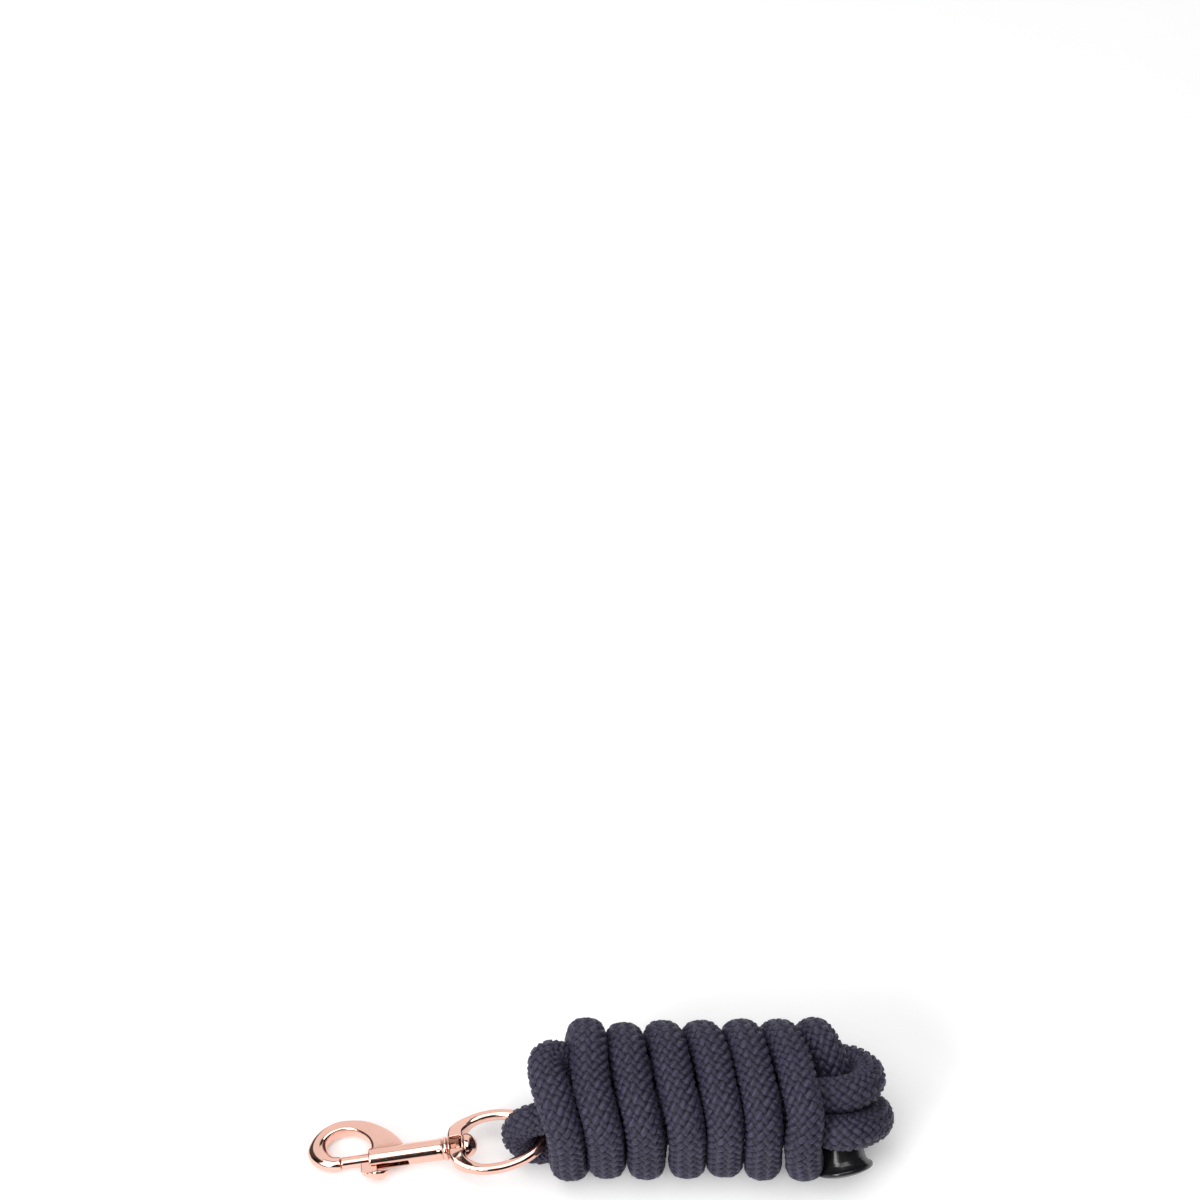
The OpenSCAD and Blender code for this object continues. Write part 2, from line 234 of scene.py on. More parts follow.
def route():
    """Points of the rope from the clamped end to the cap, each with how firmly it keeps its place."""
    pts, hold = [], []

    def add(points, w):
        for p in points:
            pts.append(tuple(float(v) for v in p))
            hold.append(w)

    # the eye round the snap, with its clamped legs
    add([(10, -8, 43), (4, -8, 43), (-3, -8.2, 42.8)], 0.5)
    add([(-10, -9, 41), (-16, -10.2, 38), (-21.5, -11.2, 35.4)], 0.15)
    add([eye(a) for a in range(90, 301, 15)], 0.4)
    add([(-15.5, -12.2, 16.5), (-10.5, -10.8, 21), (-4, -9, 24.4)], 0.03)
    add([(3, -8.2, 25.6), (12, -8, 26)], 0.3)
    add([(30, -8, 26), (55, -8, 26), (76, -8.6, 26.5)], 0.05)
    # lower bight, back through the hank, and the upper bight
    add([(86, -10.2, 28.2), (97, -16.5, 36.5)], 0.05)
    add(bight((107.9, -22.6, 42.6), (103.6, 13.5, 11.8)), 0.14)
    add([(97, 12.4, 15.8), (90, 11, 20.5), (82, 9, 25)], 0.02)
    add([(70, 8, 26), (50, 8, 26)], 0.05)
    for i in range(7):
        a = math.pi * i / 6
        add([(32 - 11.7 * math.sin(a), 8 - 8 * (1 - math.cos(a)), 26 + 8.5 * (1 - math.cos(a)))], 0.05)
    add([(50, -8, 43), (75, -8, 43.3)], 0.05)
    add([(87, -8, 44.8), (98, -7.4, 48.5)], 0.05)
    add(bight((108, -6.3, 51), (108, 21.7, 33.7)), 0.12)
    add([(99, 18.5, 36.8), (89, 13.5, 41), (78, 9.5, 43)], 0.03)
    add([(60, 8, 43.2), (30, 8, 43.2), (8, 8, 43.4)], 0.05)
    # out at the left end and round in seven turns
    add([(-3, 8.6, 44.4), (-11, 10, 47.8), (-17.5, 10.8, 53.4), (-22.6, 9.4, 58.2)], 0.16)
    for k in range(7):
        for i in range(18):
            if (k == 0 and i / 18 < 0.085) or (k == 6 and i / 18 > 0.93):
                continue
            add([wrap(k, i / 18)], 0.22)
    # tucked through the bights, to the cap
    add([(100, 24, 52), (104, 16.7, 56), (107.5, 9.4, 50.8), (109.2, 5.4, 42.4), (109.5, 0.8, 36.4)], 0.08)
    add([CAP_END - 25 * CAP_DIR], 0.3)
    add([CAP_END - 18 * CAP_DIR, CAP_END - 11 * CAP_DIR, CAP_END - 4 * CAP_DIR], 0.9)
    return np.array(pts), np.array(hold)


def even(points, weights, step):
    """A centripetal Catmull-Rom curve through the points, resampled at even steps."""
    q = np.vstack([2 * points[0] - points[1], points, 2 * points[-1] - points[-2]])
    out, w = [], []
    for i in range(len(points) - 1):
        p0, p1, p2, p3 = q[i:i + 4]
        t = [0.0]
        for a, b in ((p0, p1), (p1, p2), (p2, p3)):
            t.append(t[-1] + max(1e-6, np.linalg.norm(b - a)) ** 0.5)
        m = max(4, int(np.linalg.norm(p2 - p1) / 0.5))
        u = np.linspace(t[1], t[2], m, endpoint=False)[:, None]
        a1 = (t[1] - u) / (t[1] - t[0]) * p0 + (u - t[0]) / (t[1] - t[0]) * p1
        a2 = (t[2] - u) / (t[2] - t[1]) * p1 + (u - t[1]) / (t[2] - t[1]) * p2
        a3 = (t[3] - u) / (t[3] - t[2]) * p2 + (u - t[2]) / (t[3] - t[2]) * p3
        b1 = (t[2] - u) / (t[2] - t[0]) * a1 + (u - t[0]) / (t[2] - t[0]) * a2
        b2 = (t[3] - u) / (t[3] - t[1]) * a2 + (u - t[1]) / (t[3] - t[1]) * a3
        out.append((t[2] - u) / (t[2] - t[1]) * b1 + (u - t[1]) / (t[2] - t[1]) * b2)
        v = np.linspace(0, 1, m, endpoint=False)
        w.append(weights[i] * (1 - v) + weights[i + 1] * v)
    out, w = np.vstack(out + [points[-1:]]), np.concatenate(w + [weights[-1:]])
    d = np.concatenate([[0], np.cumsum(np.linalg.norm(np.diff(out, axis=0), axis=1))])
    s = np.linspace(0, d[-1], int(round(d[-1] / step)) + 1)
    return np.stack([np.interp(s, d, out[:, i]) for i in range(3)], 1), np.interp(s, d, w)


def settle(x, hold, step, rounds=260, gap=17.4):
    """The rope's line as it lies: strands press each other aside, it resists bending and keeps its length."""
    target, x = x.copy(), x.copy()
    idx = np.arange(len(x))
    apart = np.abs(idx[:, None] - idx[None]) * step > 30
    rest = np.linalg.norm(np.diff(x, axis=0), axis=1)
    own = np.where(idx * step < 130, 15.6, gap)
    limit = np.minimum(own[:, None], own[None])
    for _ in range(rounds):
        d = x[:, None] - x[None]
        dist = np.sqrt((d ** 2).sum(-1)) + 1e-9
        over = np.where(apart & (dist < limit), limit - dist, 0)
        push = (d / dist[..., None] * over[..., None]).sum(1) * 0.5
        x = x + push / np.maximum((over > 0).sum(1), 1)[:, None] * 0.8
        x += hold[:, None] * (target - x)
        for _ in range(3):
            lap = np.zeros_like(x)
            lap[1:-1] = (x[:-2] + x[2:]) / 2 - x[1:-1]
            l2 = np.zeros_like(x)
            l2[2:-2] = (lap[1:-3] + lap[3:-1]) / 2 - lap[2:-2]
            x -= 0.35 * l2 * (1 - np.minimum(hold, 0.9))[:, None]
            e = x[1:] - x[:-1]
            ln = np.linalg.norm(e, axis=1)
            c = ((ln - rest) / ln * 0.5)[:, None] * e
            x[:-1] += c * 0.5
            x[1:] -= c * 0.5
        x[:, 2] = np.maximum(x[:, 2], ROPE_R - 0.55)
    return x


control, hold = route()
line, hold = even(control, hold, 4.0)
line = settle(line, hold, 4.0)
line, _ = even(line, np.ones(len(line)), 1.0)
for _ in range(6):
    line[1:-1] = line[1:-1] * 0.5 + (line[:-2] + line[2:]) * 0.25
STEP = np.linalg.norm(np.diff(line, axis=0), axis=1).mean()
LENGTH = np.linalg.norm(np.diff(line, axis=0), axis=1).sum()
COUNT = len(line)


def frames(c):
    """Tangents and untwisted side directions along a line."""
    t = unit(np.gradient(c, axis=0))
    n = np.zeros_like(c)
    n[0] = unit(np.cross(t[0], (0.0, 1.0, 0.0)))
    for i in range(len(c) - 1):
        v = c[i + 1] - c[i]
        vv = v @ v
        r = n[i] - 2 / vv * (v @ n[i]) * v
        tl = t[i] - 2 / vv * (v @ t[i]) * v
        v2 = t[i + 1] - tl
        w = v2 @ v2
        n[i + 1] = r if w < 1e-18 else r - 2 / w * (v2 @ r) * v2
    n = unit(n - (n * t).sum(1)[:, None] * t)
    return t, n, np.cross(t, n)


tan, side_n, side_b = frames(line)


def along(s):
    """Centre, tangent and sides at distances s along the rope."""
    g = np.clip(s / STEP, 0, COUNT - 1.000001)
    i = g.astype(int)
    f = (g - i)[:, None]
    c = line[i] * (1 - f) + line[i + 1] * f
    t = unit(tan[i] * (1 - f) + tan[i + 1] * f)
    n = side_n[i] * (1 - f) + side_n[i + 1] * f
    n = unit(n - (n * t).sum(1)[:, None] * t)
    return c, t, n, np.cross(t, n), i


def rope_radius(s):
    """Crown radius along the rope: slimmer round the eye, pressed in the cap."""
    a = np.clip((s - 95) / 40, 0, 1)
    r = EYE_ROPE_R + (ROPE_R - EYE_ROPE_R) * a * a * (3 - 2 * a)
    b = np.clip((s - (LENGTH - 19)) / 5, 0, 1)
    return r - 0.15 * b


# Distance along the outside of the bends, where the braid's rows lie evenly
_bend = np.linalg.norm(np.gradient(unit(np.gradient(line, axis=0)), axis=0), axis=1) / STEP
for _ in range(40):
    _bend[1:-1] = _bend[1:-1] * 0.5 + (_bend[:-2] + _bend[2:]) * 0.25
OUTER = np.concatenate([[0], np.cumsum((1 + 0.8 * ROPE_R * _bend[1:]) * STEP)])
OUTER_L = OUTER[-1]


def inward(o):
    """Distance along the middle line at distance o along the outside."""
    return np.interp(o, OUTER, np.arange(COUNT) * STEP)


# The stretch that is wound round the hank
_wrapped = [int(np.argmin(((line[COUNT // 3:] - np.array(p)) ** 2).sum(1))) + COUNT // 3 for p in (wrap(0, 0.12), wrap(6, 0.9))]
WOUND = (_wrapped[0] * STEP, _wrapped[1] * STEP)


def pressed(s, t, u):
    """How much wider than round the rope is in direction u: the turns are squeezed square against each other."""
    w = np.clip(np.minimum(s - WOUND[0] + 14, WOUND[1] + 14 - s) / 28, 0, 1)
    w = w * w * (3 - 2 * w)
    flat = np.array((1.0, 0.0, 0.0)) - t[:, :1] * t
    flat = unit(flat)
    across = np.abs((u * flat).sum(1))
    out = np.sqrt(np.maximum(1 - across ** 2, 0))
    square = ((across / 1.005) ** 2.4 + (out / 0.985) ** 2.4) ** (-1 / 2.4)
    return 1 + w * (square - 1)


# ---------------------------------------------------------------------------
# Frame of the snap: origin at the mouth of the barrel, x along it to the eye
# ---------------------------------------------------------------------------
PITCH, YAW, REACH = math.radians(9.5), math.radians(4), 84.0
PIVOT = np.array((-26.8, -11.8, 22.1))
SX = np.array((math.cos(PITCH) * math.cos(YAW), math.cos(PITCH) * math.sin(YAW), math.sin(PITCH)))
SY = np.array((-math.sin(YAW), math.cos(YAW), 0.0))
SZ = np.cross(SX, SY)
MOUTH = PIVOT - REACH * SX


def snap_to_row(p):
    """Snap coordinates in millimetres to the row frame in millimetres."""
    p = np.asarray(p, float)
    return MOUTH + p[..., :1] * SX + p[..., 1:2] * SY + p[..., 2:3] * SZ


def row_to_snap(p):
    q = np.asarray(p, float) - MOUTH
    return np.stack([q @ SX, q @ SY, q @ SZ], -1)


def oval(n=240):
    """Middle line of the eye's bar, in snap coordinates: an oval of arcs."""
    cx, r_end, r_side, k = 74.4, 9.6, 33.6, 19.2
    g = math.asin(0.8)
    pts = []
    for a in np.linspace(-g, g, n // 4):
        pts.append((cx + r_end * math.cos(a), r_end * math.sin(a), 0))
    side = []
    stop = math.acos((40.8 - 60) / r_side)
    for a in np.linspace(g, stop, n // 3):
        side.append((60 + r_side * math.cos(a), -k + r_side * math.sin(a), 0))
    other = [(x, -y, z) for x, y, z in side]
    return np.array(other[::-1] + pts + side)


# ---------------------------------------------------------------------------
# Braided rope: ten strands each way, laid over and under one another
# ---------------------------------------------------------------------------
STRANDS = 10
PERIOD = 5.35
RELIEF = 1.4
# How far the strands of one way spread over the ones that they cross, across and along, in strand widths
SPREAD_A, SPREAD_B = -0.08, 0.05
# Places across and along a strand's tile, and the tile's height there
SUB_ACROSS = np.array((0.0, 0.07, 0.5, 0.93))
SUB_ALONG = np.array((0.0, 0.24, 0.5, 0.76))
ACROSS = np.array((0.0, 0.94, 1.0, 0.94))
ALONG_A = np.array((0.0, 0.55, 1.0, 0.55))
ALONG_B = np.array((0.0, 0.62, 1.0, 0.62))
# Depth of the creases along the tiles' edges, deepest where four tiles meet
CREASE_A = np.array((1.35, 0.88, 0.74, 0.88))
CREASE_B = np.array((1.35, 0.95, 0.84, 0.95))
SWELL = np.array((0.0, 0.92, 1.0, 0.92))


def seen_cells(ci, cj):
    """Which cells of the braid can be seen from anywhere outside the hank."""
    rings = np.arange(0, COUNT, 3)
    sides = 16
    ang = np.arange(sides) * 2 * math.pi / sides
    r = rope_radius(rings * STEP)
    tube = line[rings][:, None] + r[:, None, None] * (np.cos(ang)[None, :, None] * side_n[rings][:, None] + np.sin(ang)[None, :, None] * side_b[rings][:, None])
    verts = [Vector(v) for v in tube.reshape(-1, 3)]
    polys = []
    for i in range(len(rings) - 1):
        for j in range(sides):
            k = (j + 1) % sides
            polys.append((i * sides + j, i * sides + k, (i + 1) * sides + k, (i + 1) * sides + j))
    tree = BVHTree.FromPolygons(verts, polys)
    s = inward((ci + cj + 1) * PERIOD / 2)
    th = (ci - cj) * math.pi / STRANDS
    c, t, n, b, _ = along(s)
    out = np.cos(th)[:, None] * n + np.sin(th)[:, None] * b
    start = c + out * (rope_radius(s) + 0.35)[:, None]
    m = 56
    k = np.arange(m) + 0.5
    phi = np.arccos(1 - 2 * k / m)
    az = math.pi * (1 + 5 ** 0.5) * k
    rays = np.stack([np.sin(phi) * np.cos(az), np.sin(phi) * np.sin(az), np.cos(phi)], 1)
    face = out @ rays.T
    order = np.argsort(-face, axis=1)
    ray_v = [Vector(v) for v in rays]
    seen = np.zeros(len(ci), bool)
    for q in range(len(ci)):
        o = Vector(start[q])
        for d in order[q]:
            if face[q, d] < 0.1:
                break
            if tree.ray_cast(o, ray_v[d], 260.0)[0] is None:
                seen[q] = True
                break
    # nothing inside the cap needs detail
    seen &= s < LENGTH - 13
    return seen


def squeeze(s, u, rho):
    """Limits each surface point's distance from its own middle line where another strand, the eye or the ground presses."""
    c, t, n, b, at = along(s)
    step = 2
    cand = np.arange(0, COUNT, step)
    order = np.argsort(at, kind="stable")
    bounds = np.searchsorted(at[order], np.arange(COUNT + 1))
    rest = snap_to_row(oval())
    rest_t = unit(np.gradient(rest, axis=0))

    def lift(p, deg):
        g = math.radians(deg)
        return p * math.cos(g) + np.cross(SY, p) * math.sin(g) + np.outer(p @ SY, SY) * (1 - math.cos(g))

    # the eye's bar as it lies, and as it wears the rope's sides when it lifts
    bars = [(PIVOT + lift(rest - PIVOT, deg), lift(rest_t, deg), most) for deg, most in ((0, 99.0), (9, 1.0), (18, 1.0), (27, 1.0), (36, 1.0), (45, 1.0))]
    out = rho.copy()
    for i in range(COUNT):
        ids = order[bounds[i]:bounds[i + 1]]
        if not len(ids):
            continue
        near = cand[(np.abs(cand - i) * STEP > 36)]
        q = near[np.linalg.norm(line[near] - line[i], axis=1) < 27]
        if len(q):
            w = c[ids][:, None] - line[q][None]
            tq = tan[q][None]
            x = w + u[ids][:, None] * out[ids][:, None, None]
            ok = np.abs((x * tq).sum(-1)) < 1.6 * step
            w = w - (w * tq).sum(-1, keepdims=True) * tq
            e = u[ids][:, None] - (u[ids][:, None] * tq).sum(-1, keepdims=True) * tq
            # the other strand's share of the space follows the two radii
            gap = 0.04
            ratio = rope_radius(q * STEP)[None] / rope_radius(np.array([i * STEP]))
            a2 = (e * e).sum(-1) - ratio ** 2
            a1 = (w * e).sum(-1) - gap * ratio
            a0 = (w * w).sum(-1) - gap ** 2
            disc = a1 * a1 - a2 * a0
            root = np.sqrt(np.maximum(disc, 0))
            with np.errstate(divide="ignore", invalid="ignore"):
                lin = -a0 / (2 * a1)
                r1 = np.where(np.abs(a2) < 1e-4, lin, (-a1 - root) / a2)
                r2 = np.where(np.abs(a2) < 1e-4, lin, (-a1 + root) / a2)
            r1 = np.where((r1 > 0.5) & np.isfinite(r1) & (disc >= 0), r1, 1e3)
            r2 = np.where((r2 > 0.5) & np.isfinite(r2) & (disc >= 0), r2, 1e3)
            lim = np.where(ok, np.minimum(r1, r2), 1e3).min(1)
            out[ids] = np.minimum(out[ids], np.maximum(lim, 2.5))
        for bar, bar_t, most in bars if i * STEP < 140 else ():
            w = c[ids][:, None] - bar[None]
            x = w + u[ids][:, None] * out[ids][:, None, None]
            ok = np.abs((x * bar_t[None]).sum(-1)) < 0.8
            w = w - (w * bar_t[None]).sum(-1, keepdims=True) * bar_t[None]
            e = u[ids][:, None] - (u[ids][:, None] * bar_t[None]).sum(-1, keepdims=True) * bar_t[None]
            a2, a1, a0 = (e * e).sum(-1), (w * e).sum(-1), (w * w).sum(-1) - 2.85 ** 2
            disc = a1 * a1 - a2 * a0
            r1 = np.where((disc > 0) & ok, (-a1 - np.sqrt(np.maximum(disc, 0))) / np.maximum(a2, 1e-9), 1e3)
            r1 = np.where(r1 > 0.5, r1, 1e3).min(1)
            out[ids] = np.minimum(out[ids], np.maximum(r1, out[ids] - most))
    down = u[:, 2] < -1e-3
    floor_r = np.where(down, (c[:, 2] - 0.05) / np.maximum(-u[:, 2], 1e-3), 1e3)
    return np.minimum(out, np.maximum(floor_r, 2.5))


def braid():
    n = STRANDS
    rows = int(2 * OUTER_L / PERIOD) - 1
    ci, cj = [], []
    for k in range(rows):
        for d in range(k % 2, 2 * n, 2):
            ci.append((k + d) // 2)
            cj.append((k - d) // 2)
    ci, cj = np.array(ci), np.array(cj)
    seen = seen_cells(ci, cj)
    seen_at = {}
    for q in range(len(ci)):
        seen_at[(ci[q] + cj[q], ci[q] - cj[q])] = q

    def cell(i, j):
        return seen_at.get((i + j, (i - j) % (2 * n)), -1)

    # one more row of cells round what is seen, so that no coarse cell shows
    grown = seen.copy()
    for q in np.nonzero(seen)[0]:
        for di, dj in ((1, 0), (-1, 0), (0, 1), (0, -1)):
            o = cell(ci[q] + di, cj[q] + dj)
            if o >= 0:
                grown[o] = True
    fine = grown

    def key(ia, ib):
        return (ia + ib) * (8 * n) + (ia - ib) % (8 * n)

    al, be = np.meshgrid(np.arange(5), np.arange(5), indexing="ij")
    fi, fj = ci[fine], cj[fine]
    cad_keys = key(4 * fi[:, None, None] + al, 4 * fj[:, None, None] + be)
    coarse = np.nonzero(~fine)[0]
    polys = []
    for q in coarse:
        i, j = int(ci[q]), int(cj[q])
        ring = []
        for (a, b), (da, db), nb in (((0, 0), (1, 0), (i, j - 1)), ((4, 0), (0, 1), (i + 1, j)), ((4, 4), (-1, 0), (i, j + 1)), ((0, 4), (0, -1), (i - 1, j))):
            o = cell(*nb)
            inner = range(4) if o >= 0 and fine[o] else (0,)
            ring += [key(4 * i + a + da * m, 4 * j + b + db * m) for m in inner]
        polys.append(ring)
    flat = np.concatenate([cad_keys.ravel()] + [np.array(r) for r in polys])
    uniq, inv = np.unique(flat, return_inverse=True)
    total, diff = uniq // (8 * n), uniq % (8 * n)
    ia, ib = (total + diff) // 2, (total - diff) // 2
    a, b = ia % 4, ib % 4
    i, j = ia // 4, ib // 4
    odd = ((i - j) & 1).astype(bool)
    rng = np.random.default_rng(7)
    strand_a, strand_b = rng.normal(0, 0.07, n), rng.normal(0, 0.07, n)
    tile_j = rng.normal(0, 0.055, (rows + 8, 2 * n))
    pa, pb = np.where(odd, SUB_ALONG[a], SUB_ACROSS[a]), np.where(odd, SUB_ACROSS[b], SUB_ALONG[b])
    # along-strand direction of the tile that a vertex lies in
    across_i, along_i = np.where(odd, b, a), np.where(odd, a, b)
    inner = (a > 0) & (b > 0)
    depth = np.where(inner, 1 - ACROSS[across_i] * np.where(odd, ALONG_B[along_i], ALONG_A[along_i]), 0.0)
    # the tiles of one way are larger than their share of the lattice, and the ones between them smaller
    sign = np.where(odd, -1.0, 1.0)
    ea, eb = sign * SPREAD_A * SWELL[b], -sign * SPREAD_B * SWELL[a]
    fa = ea + pa * (1 - 2 * ea)
    fb = eb + pb * (1 - 2 * eb)
    edge_a = (a == 0) & (b > 0)
    edge_b = (b == 0) & (a > 0)
    # no two tiles are quite alike
    knot = rng.normal(0, 0.055, (rows + 12, 2 * n, 2))

    def nudge(di, dj):
        return knot[np.clip(i + di + j + dj, 0, rows + 11), (i + di - j - dj) % (2 * n)]

    wa, wb = pa[:, None], pb[:, None]
    shift = nudge(0, 0) * (1 - wa) * (1 - wb) + nudge(1, 0) * wa * (1 - wb) + nudge(0, 1) * (1 - wa) * wb + nudge(1, 1) * wa * wb
    fa, fb = fa + shift[:, 0], fb + shift[:, 1]
    depth = np.where(edge_a, CREASE_A[b], depth)
    depth = np.where(edge_b, CREASE_B[a], depth)
    depth = np.where((a == 0) & (b == 0), CREASE_A[0], depth)
    big_a, big_b = i + fa, j + fb
    s = inward((big_a + big_b) * PERIOD / 2)
    th = (big_a - big_b) * math.pi / n
    c, t, nn, bb, _ = along(s)
    u = np.cos(th)[:, None] * nn + np.sin(th)[:, None] * bb
    scale = rope_radius(s) / ROPE_R
    wob = np.where(inner, np.where(odd, strand_b[j % n], strand_a[i % n]) + tile_j[np.clip(i + j, 0, rows + 7), (i - j) % (2 * n)], 0.0)
    rho = rope_radius(s) * pressed(s, t, u) - RELIEF * scale * depth + wob * scale - 0.06
    rho = squeeze(s, u, rho)
    rho = squeeze(s, u, rho)
    co = c + u * rho[:, None]
    co[:, 2] = np.maximum(co[:, 2], 0.05)

    # faces, with their fibre coordinates and their place on an unrolled sheet
    inv_f = inv[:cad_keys.size].reshape(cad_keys.shape)
    quads = np.stack([inv_f[:, :-1, :-1], inv_f[:, 1:, :-1], inv_f[:, 1:, 1:], inv_f[:, :-1, 1:]], -1).reshape(-1, 4)
    cell_of = np.repeat(np.nonzero(fine)[0], 16)
    sub5 = np.concatenate([(SUB_ACROSS + SUB_ALONG) / 2, [1.0]])
    ga, gb = sub5[al], sub5[be]
    corner = np.stack([np.stack([g[:-1, :-1], g[1:, :-1], g[1:, 1:], g[:-1, 1:]], -1) for g in (ga, gb)], -1).reshape(16, 4, 2)
    corner = np.tile(corner, (len(fi), 1, 1))
    loops = [quads.ravel()]
    sizes = [np.full(len(quads), 4)]
    owner = [cell_of]
    local = [corner.reshape(-1, 2)]
    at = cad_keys.size
    for q, ring in zip(coarse, polys):
        ids = inv[at:at + len(ring)]
        at += len(ring)
        loops.append(ids)
        sizes.append(np.array([len(ring)]))
        owner.append(np.array([q]))
        g = np.zeros((len(ring), 2))
        # corner places round the cell
        kk = np.array(ring)
        tt, dd = kk // (8 * n), kk % (8 * n)
        xa, xb = (tt + dd) // 2, (tt - dd) // 2
        wrapn = np.round((xa - xb - 4 * (ci[q] - cj[q])) / (8 * n)) * 4 * n
        xa, xb = xa - wrapn - 4 * ci[q], xb + wrapn - 4 * cj[q]
        g[:, 0], g[:, 1] = sub5[np.clip(xa, 0, 4).astype(int)], sub5[np.clip(xb, 0, 4).astype(int)]
        local.append(g)
    loops, sizes, owner = np.concatenate(loops), np.concatenate(sizes), np.concatenate(owner)
    local = np.concatenate(local)
    mesh = bpy.data.meshes.new("rope")
    mesh.vertices.add(len(co))
    mesh.vertices.foreach_set("co", (co * MM).astype(np.float32).ravel())
    mesh.loops.add(len(loops))
    mesh.loops.foreach_set("vertex_index", loops.astype(np.int32))
    mesh.polygons.add(len(sizes))
    starts = np.concatenate([[0], np.cumsum(sizes)[:-1]])
    mesh.polygons.foreach_set("loop_start", starts.astype(np.int32))
    mesh.polygons.foreach_set("use_smooth", np.ones(len(sizes), bool))
    mesh.update(calc_edges=True)

    lo = np.repeat(owner, sizes)
    o_odd = ((ci[lo] - cj[lo]) & 1).astype(bool)
    across_u = np.where(o_odd, local[:, 1], local[:, 0])
    along_v = np.where(o_odd, ci[lo] + local[:, 0], cj[lo] + local[:, 1])
    strand = np.where(o_odd, n + cj[lo] % n, ci[lo] % n)
    fibre = np.stack([across_u + 3.37 * strand, along_v + 0.713 * strand], 1)
    strips = 6
    strip_l = OUTER_L / strips
    cell_s = (ci + cj + 1) * PERIOD / 2
    k = np.clip((cell_s[lo] / strip_l).astype(int), 0, strips - 1)
    la, lb = ci[lo] + local[:, 0], cj[lo] + local[:, 1]
    ls = (la + lb) * PERIOD / 2 - k * strip_l
    lt = (la - lb) * math.pi / n * ROPE_R
    height = 2 * math.pi * ROPE_R + 9.0
    size = max(strip_l + 9, strips * height)
    bake = np.stack([(ls + 4.5) / size, (lt + 4.5 + k * height) / size], 1)
    for name, uv in (("OFBake", bake), ("Fibre", fibre)):
        layer = mesh.uv_layers.new(name=name)
        layer.data.foreach_set("uv", uv.astype(np.float32).ravel())
    # painted shade: the deeper a point lies in the creases between the tiles, the darker its colour
    painted_crease_shade = np.clip(1 - depth / 1.2, 0, 1)
    mesh.attributes.new("painted_crease_shade", "FLOAT", "POINT").data.foreach_set("value", painted_crease_shade.astype(np.float32))
    tone = rng.normal(0, 1, 2 * n)
    per = rng.normal(0, 1, len(ci))
    f_odd = ((ci[owner] - cj[owner]) & 1).astype(bool)
    f_strand = np.where(f_odd, n + cj[owner] % n, ci[owner] % n)
    # random tone per strand and per tile, and painted sheen: the strands of one way are painted lighter, those of the
    # other way darker
    mesh.attributes.new("tone_and_painted_sheen", "FLOAT", "FACE").data.foreach_set("value", (tone[f_strand] * 0.5 + per[owner] * 0.4 + np.where(f_odd, -0.6, 0.6)).astype(np.float32))

    # close the two ends
    bm = bmesh.new()
    bm.from_mesh(mesh)
    bmesh.ops.holes_fill(bm, edges=[e for e in bm.edges if e.is_boundary], sides=0)
    bm.to_mesh(mesh)
    bm.free()
    mesh.update()
    print("rope: %d cells, %d fine, %d vertices, %d triangles" % (len(ci), fine.sum(), len(co), sum(len(p.vertices) - 2 for p in mesh.polygons)))
    return put("braided_rope", mesh)


rope = braid()


def rope_paint():
    p = Paint("braided_fibre")
    uv = p.node("ShaderNodeUVMap", uv_map="Fibre").outputs["UV"]
    coarse = p.noise(p.scaled(uv, (5.5, 0.22, 1)), 1.0, 2.0, 0.55)
    fine = p.noise(p.scaled(uv, (19, 0.45, 1)), 1.0, 3.0, 0.6)
    fuzz = p.noise(p.coords(), 1400, 2.0, 0.6)
    blotch = p.noise(p.coords(), 55, 3.0, 0.55)
    strands = p.math("ADD", p.math("MULTIPLY", coarse, 0.55), p.math("MULTIPLY", fine, 0.45))
    colour = p.ramp(strands, [(0.30, (0.0175, 0.0157, 0.0318)), (0.50, (0.0340, 0.0305, 0.0610)), (0.70, (0.058, 0.0525, 0.101))])
    # random tone, with painted sheen that lightens one way of strands and darkens the other
    tone_and_painted_sheen = p.attribute("tone_and_painted_sheen")
    colour = p.mix("MULTIPLY", 1.0, colour, p.ramp(p.span(tone_and_painted_sheen, -2, 2, 0, 1), [(0.0, (0.68, 0.68, 0.71)), (1.0, (1.28, 1.28, 1.28))]))
    colour = p.mix("MULTIPLY", 1.0, colour, p.ramp(blotch, [(0.35, (0.90, 0.90, 0.93)), (0.65, (1.07, 1.06, 1.05))]))
    # painted shade: colour darkest in the creases and where four tiles meet, slightly lighter on the tiles' crowns
    painted_crease_shade = p.attribute("painted_crease_shade")
    colour = p.mix("MULTIPLY", 1.0, colour, p.ramp(painted_crease_shade, [(0.0, (0.02, 0.02, 0.03)), (0.18, (0.09, 0.09, 0.12)), (0.34, (0.30, 0.30, 0.34)), (0.56, (0.86, 0.86, 0.88)), (1.0, (1.08, 1.08, 1.07))]))
    rough = p.span(p.math("ADD", p.math("MULTIPLY", fine, 0.7), p.math("MULTIPLY", fuzz, 0.3)), 0.3, 0.7, 0.42, 0.62)
    n1 = p.bump(strands, 0.75, 0.00022)
    n2 = p.bump(fuzz, 0.35, 0.00006, n1)
    # the fibres shine across their own direction
    lie = p.node("ShaderNodeTangent", direction_type="UV_MAP", uv_map="Fibre").outputs["Tangent"]
    p.set(Base_Color=colour, Roughness=rough, Normal=n2, Tangent=lie, Specular_IOR_Level=0.38, Anisotropic=0.7, Sheen_Weight=0.08, Sheen_Roughness=0.45, Sheen_Tint=(0.75, 0.74, 0.88, 1))
    return p.mat


rope.data.materials.append(rope_paint())
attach(rope, "rope")
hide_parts("rope_hank", "rope_eye_loop", "rope_upper_bight", "rope_lower_bight", "rope_tail")


